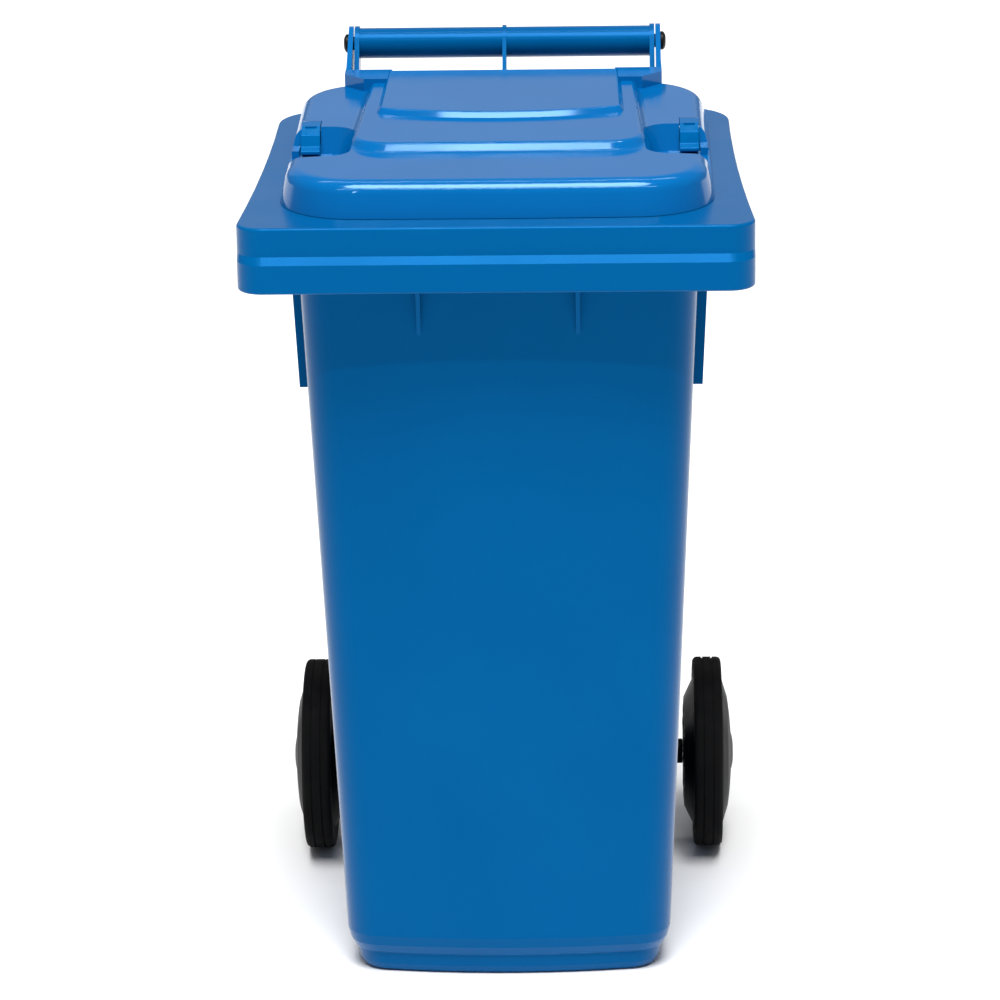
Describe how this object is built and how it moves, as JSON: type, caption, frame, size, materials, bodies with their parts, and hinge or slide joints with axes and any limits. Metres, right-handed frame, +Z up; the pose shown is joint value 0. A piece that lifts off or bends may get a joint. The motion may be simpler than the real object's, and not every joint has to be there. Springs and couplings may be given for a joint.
{
  "type": "wheelie bin",
  "caption": "Two-wheeled refuse bin: tapered tub with a stepped rim, hinged stepped lid with side catches, tube handle, and two wheels on a steel axle.",
  "frame": {"origin": "centre of the bounding box's footprint, on the ground", "axes": "+Z up; the front of the bin faces -Y; +X is on the right of someone looking at the front"},
  "size_m": [0.4796, 0.57, 0.877],
  "materials": {
    "body_plastic": "satin moulded polyethylene, blue",
    "lid_plastic": "satin moulded polyethylene, blue",
    "pin_plastic": "black moulded plastic",
    "wheel_plastic": "black moulded plastic",
    "tyre_rubber": "black solid rubber",
    "axle_steel": "zinc plated",
    "small_steel": "zinc plated"
  },
  "bodies": {
    "bin": {"body_shell": "body_plastic", "hinge_pin_left": "pin_plastic", "hinge_pin_right": "pin_plastic", "axle": "axle_steel", "spacer_left": "wheel_plastic", "spacer_right": "wheel_plastic"},
    "lid": {"lid_shell": "lid_plastic", "catch_pin_left": "small_steel", "catch_pin_right": "small_steel"},
    "catch_left": {"catch_left": "lid_plastic"},
    "wheel_left": {"wheel_rim_left": "wheel_plastic", "tyre_left": "tyre_rubber", "hub_cap_left": "wheel_plastic", "lock_plug_left": "wheel_plastic", "lock_spring_left": "small_steel"},
    "lock_left": {"lock_pin_left": "small_steel"},
    "catch_right": {"catch_right": "lid_plastic"},
    "wheel_right": {"wheel_rim_right": "wheel_plastic", "tyre_right": "tyre_rubber", "hub_cap_right": "wheel_plastic", "lock_plug_right": "wheel_plastic", "lock_spring_right": "small_steel"},
    "lock_right": {"lock_pin_right": "small_steel"}
  },
  "joints": [
    {"name": "lid_hinge", "type": "hinge", "parent": "bin", "child": "lid", "pos_m": [0, 0.232, 0.8595], "axis": [-1, 0, 0], "range_deg": [0, 270]},
    {"name": "catch_left_flip", "type": "hinge", "parent": "lid", "child": "catch_left", "pos_m": [-0.183, -0.014, 0.829], "axis": [-1, 0, 0], "range_deg": [0, 100]},
    {"name": "wheel_left_spin", "type": "hinge", "parent": "bin", "child": "wheel_left", "pos_m": [-0.205, 0.185, 0.1], "axis": [1, 0, 0], "continuous": true},
    {"name": "lock_left_slide", "type": "slide", "parent": "wheel_left", "child": "lock_left", "axis": [0, 0, 1], "range_m": [0, 0.004], "stiffness_N_per_m": 600, "springref_m": -0.002, "deforming": ["lock_spring_left"]},
    {"name": "catch_right_flip", "type": "hinge", "parent": "lid", "child": "catch_right", "pos_m": [0.183, -0.014, 0.829], "axis": [-1, 0, 0], "range_deg": [0, 100]},
    {"name": "wheel_right_spin", "type": "hinge", "parent": "bin", "child": "wheel_right", "pos_m": [0.205, 0.185, 0.1], "axis": [1, 0, 0], "continuous": true},
    {"name": "lock_right_slide", "type": "slide", "parent": "wheel_right", "child": "lock_right", "axis": [0, 0, 1], "range_m": [0, 0.004], "stiffness_N_per_m": 600, "springref_m": -0.002, "deforming": ["lock_spring_right"]}
  ]
}
